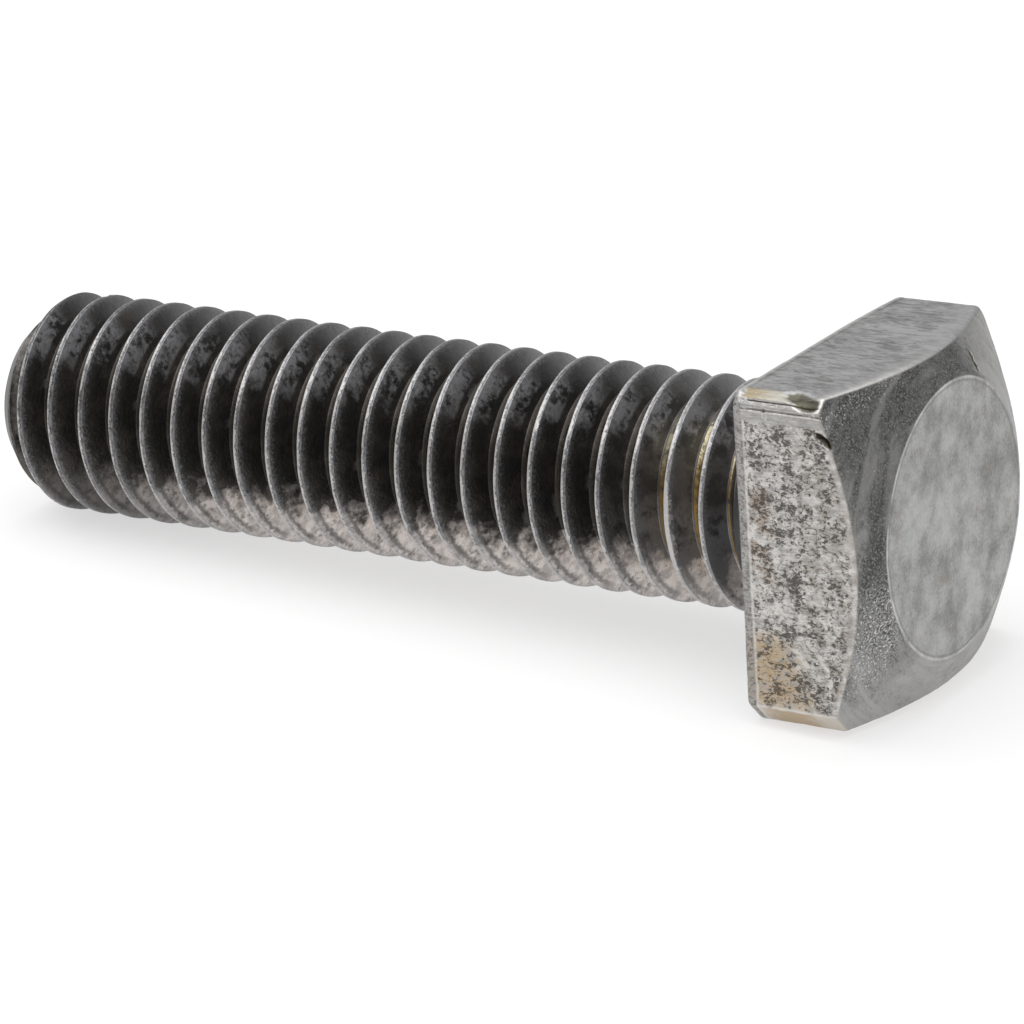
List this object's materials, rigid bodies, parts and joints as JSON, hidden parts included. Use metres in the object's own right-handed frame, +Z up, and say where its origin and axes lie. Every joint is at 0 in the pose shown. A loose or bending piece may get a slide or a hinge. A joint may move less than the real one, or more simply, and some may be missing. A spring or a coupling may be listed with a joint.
{
  "type": "square head bolt",
  "caption": "Square head bolt with a coarse right-hand thread up to the head, a chamfered crown and a chamfered point, lying on its side.",
  "frame": {"origin": "centre of the bearing face under the head, on the bolt's axis", "axes": "+X from the tip towards the crown, +Z up, front wrench flat towards -Y; the bolt lies on a flat surface, so its axis climbs towards the head by 3.47 degrees"},
  "size_m": [0.0444, 0.0138, 0.0141],
  "materials": {
    "plain_steel": "uncoated steel, dark oily rolled thread, grey scaled head with light rust"
  },
  "bodies": {
    "root": {"square_head_bolt": "plain_steel"}
  },
  "joints": []
}
